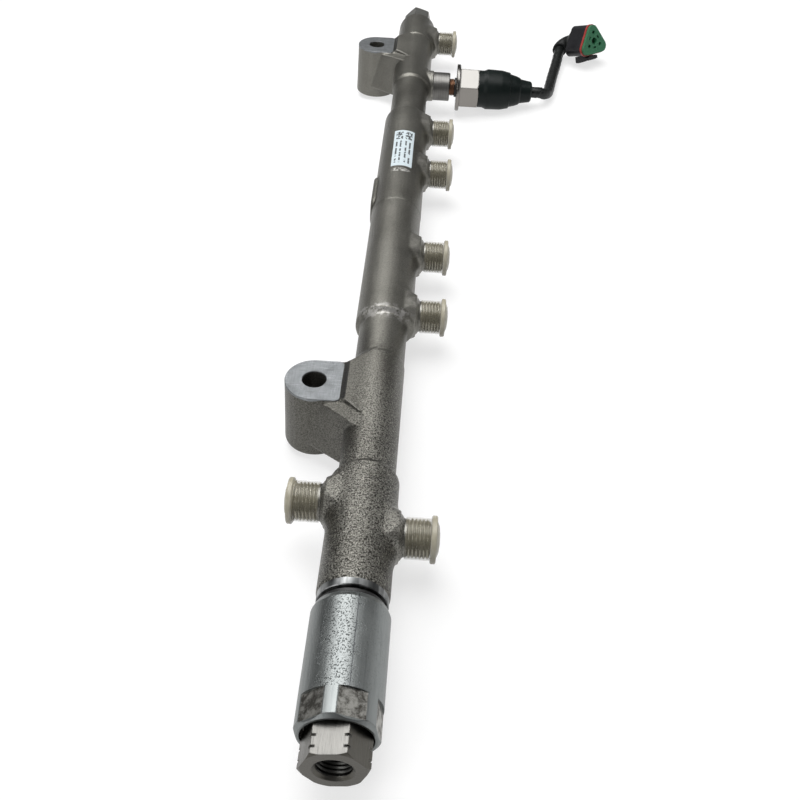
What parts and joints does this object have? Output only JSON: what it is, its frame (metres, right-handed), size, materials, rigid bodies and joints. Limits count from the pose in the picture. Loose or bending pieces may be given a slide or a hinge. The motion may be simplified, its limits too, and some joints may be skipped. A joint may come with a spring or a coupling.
{
  "type": "fuel rail",
  "caption": "Forged high-pressure fuel rail with capped ports, two bolt lugs, a pressure sensor with a short pigtail, an end plug and a spring-loaded relief valve.",
  "frame": {"origin": "midway between the two bolt holes, in the plane of the lugs' mounting faces", "axes": "+Y along the rail towards the end plug, +X to the side of the outlet ports, +Z along the bolts, away from the engine"},
  "size_m": [0.1874, 0.6337, 0.0502],
  "materials": {
    "forged_steel": "dark phosphated forging with a shot-blast grain",
    "plated_steel": "bright zinc plating, a little pitted",
    "fitting_steel": "bright zinc plating",
    "plug_steel": "dark phosphated",
    "nickel_steel": "bright nickel plating",
    "hard_steel": "ground",
    "spring_steel": "oiled",
    "copper_seal": "soft copper washer",
    "contact_metal": "tinned",
    "cap_plastic": "thin translucent polyethylene",
    "boot_plastic": "moulded, faintly grained",
    "housing_plastic": "moulded",
    "green_plastic": "moulded",
    "label_film": "printed film",
    "black_rubber": "smooth",
    "sleeve_rubber": "matt",
    "cable_tape": "wound cloth tape",
    "red_seal": "silicone"
  },
  "bodies": {
    "rail": {"rail_body": "forged_steel", "outlet_cap_1": "cap_plastic", "outlet_cap_2": "cap_plastic", "outlet_cap_3": "cap_plastic", "outlet_cap_4": "cap_plastic", "outlet_cap_5": "cap_plastic", "outlet_cap_6": "cap_plastic", "inlet_cap": "cap_plastic", "end_plug": "plug_steel", "end_plug_seal": "copper_seal", "relief_valve_holder": "plated_steel", "holder_o_ring": "black_rubber", "outlet_fitting": "fitting_steel", "outlet_o_ring": "black_rubber", "valve_seat": "hard_steel", "valve_spring": "spring_steel", "spring_seat": "hard_steel", "sensor_body": "nickel_steel", "sensor_cell": "hard_steel", "sensor_washer": "black_rubber", "sensor_boot": "boot_plastic", "pigtail_cable": "cable_tape", "connector_sleeve": "sleeve_rubber", "connector_housing": "housing_plastic", "connector_seal": "red_seal", "connector_wedge": "green_plastic", "connector_sockets": "contact_metal", "connector_grommet": "red_seal", "rail_label": "label_film"},
    "poppet": {"valve_poppet": "hard_steel"}
  },
  "joints": [
    {"name": "poppet_slide", "type": "slide", "parent": "rail", "child": "poppet", "axis": [0, -1, 0], "range_m": [0, 0.001], "stiffness_N_per_m": 400, "springref_m": -0.003, "deforming": ["valve_spring"]}
  ]
}
